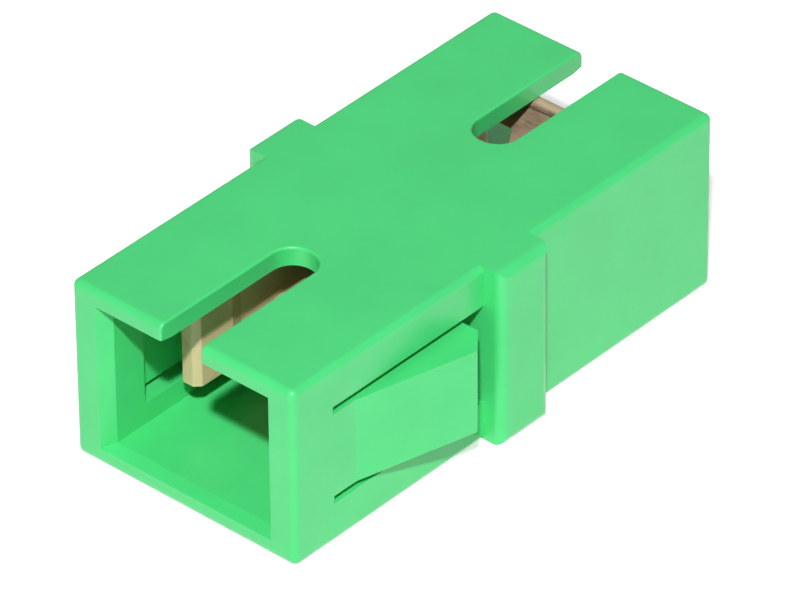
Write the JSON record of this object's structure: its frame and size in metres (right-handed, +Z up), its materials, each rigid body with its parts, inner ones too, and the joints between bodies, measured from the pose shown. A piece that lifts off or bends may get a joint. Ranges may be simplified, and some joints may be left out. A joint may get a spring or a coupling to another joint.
{
  "type": "simplex fibre adapter",
  "caption": "Snap-in panel coupler that joins two push-pull fibre plugs end to end, with sprung side latches, a split ceramic sleeve and a shutter in the rear port.",
  "frame": {"origin": "on the underside, below the middle of the adapter", "axes": "+X from the front port to the rear port along the fibre axis, +Y across the body, +Z up towards the key slots"},
  "size_m": [0.0276, 0.016, 0.0092],
  "materials": {
    "green_plastic": "moulded, semi-gloss",
    "amber_plastic": "moulded, satin",
    "ceramic": "ground and polished",
    "spring_bronze": "rolled sheet, satin",
    "pin_steel": "drawn wire, bright"
  },
  "bodies": {
    "adapter": {"front_housing": "green_plastic", "rear_housing": "green_plastic", "front_hook_insert": "amber_plastic", "rear_hook_insert": "amber_plastic", "split_sleeve": "ceramic", "shutter_pin": "pin_steel"},
    "shutter_leaf": {"shutter": "spring_bronze"}
  },
  "joints": [
    {"name": "shutter_hinge", "type": "hinge", "parent": "adapter", "child": "shutter_leaf", "pos_m": [0.0108, 0, 0.00789], "axis": [0, 1, 0], "range_deg": [0, 72], "stiffness_Nm_per_rad": 0.00001, "springref_deg": -28.65}
  ]
}
